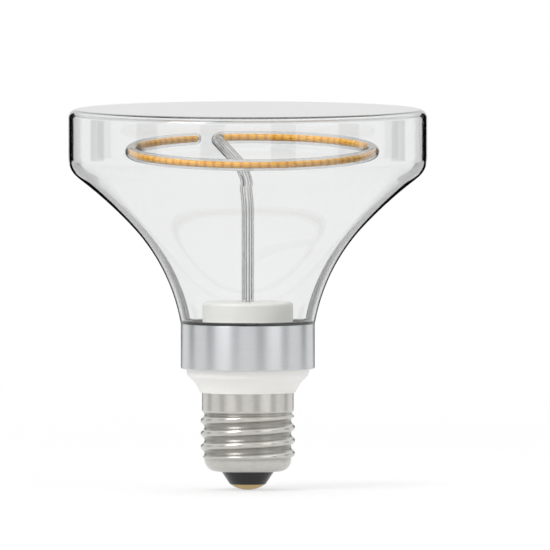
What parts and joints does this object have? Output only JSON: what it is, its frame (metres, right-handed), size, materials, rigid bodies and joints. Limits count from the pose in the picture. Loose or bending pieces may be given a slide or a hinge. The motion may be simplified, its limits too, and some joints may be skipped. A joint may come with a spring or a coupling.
{
  "type": "led filament bulb",
  "caption": "Screw-cap lamp with a flat-topped, flared clear glass round a bent glass light tube that holds a ring of led filament, and its driver in a waisted housing.",
  "frame": {"origin": "tip of the centre contact, on the bulb's axis, which is the middle of the foot of the whole part", "axes": "+Z along the bulb's axis from the cap to the flat front of the glass; +X and +Y across, with the filament's gap and the slant of the light tube towards +Y"},
  "size_m": [0.1, 0.1, 0.106],
  "materials": {
    "clear_glass": "clear, polished",
    "tube_glass": "clear, polished",
    "silicone": "soft, matt",
    "collar_metal": "satin",
    "white_plastic": "moulded, fine matt",
    "phosphor": "soft, matt",
    "filament_strip": "matt",
    "light_chip": "gloss",
    "lead_metal": "drawn wire",
    "ferrule_metal": "satin",
    "board": "solder resist",
    "component_black": "moulded",
    "capacitor_sleeve": "shrunk sleeve",
    "film_case": "dipped",
    "ferrite": "matt",
    "copper_winding": "enamelled wire",
    "resistor_body": "lacquered",
    "terminal": "moulded",
    "wire_insulation": "extruded",
    "tinned_wire": "tinned",
    "cap_metal": "nickel plated",
    "black_glass": "moulded, gloss",
    "contact_metal": "satin"
  },
  "bodies": {
    "root": {"glass_envelope": "clear_glass", "neck_cement": "silicone", "collar": "collar_metal", "driver_housing": "white_plastic", "tube_seat": "white_plastic", "tube_grommet": "silicone", "light_tube": "tube_glass", "phosphor_coat": "phosphor", "filament_strip": "filament_strip", "led_chips": "light_chip", "filament_terminals": "ferrule_metal", "lead_feed": "lead_metal", "lead_return": "lead_metal", "driver_board": "board", "bridge_rectifier": "component_black", "driver_chip": "component_black", "chip_resistors": "component_black", "smoothing_capacitor": "capacitor_sleeve", "input_capacitor": "film_case", "choke_core": "ferrite", "choke_winding": "copper_winding", "fusible_resistor": "resistor_body", "output_terminal": "terminal", "live_wire": "wire_insulation", "neutral_wire": "tinned_wire", "screw_shell": "cap_metal", "cap_insulator": "black_glass", "centre_contact": "contact_metal"}
  },
  "joints": []
}
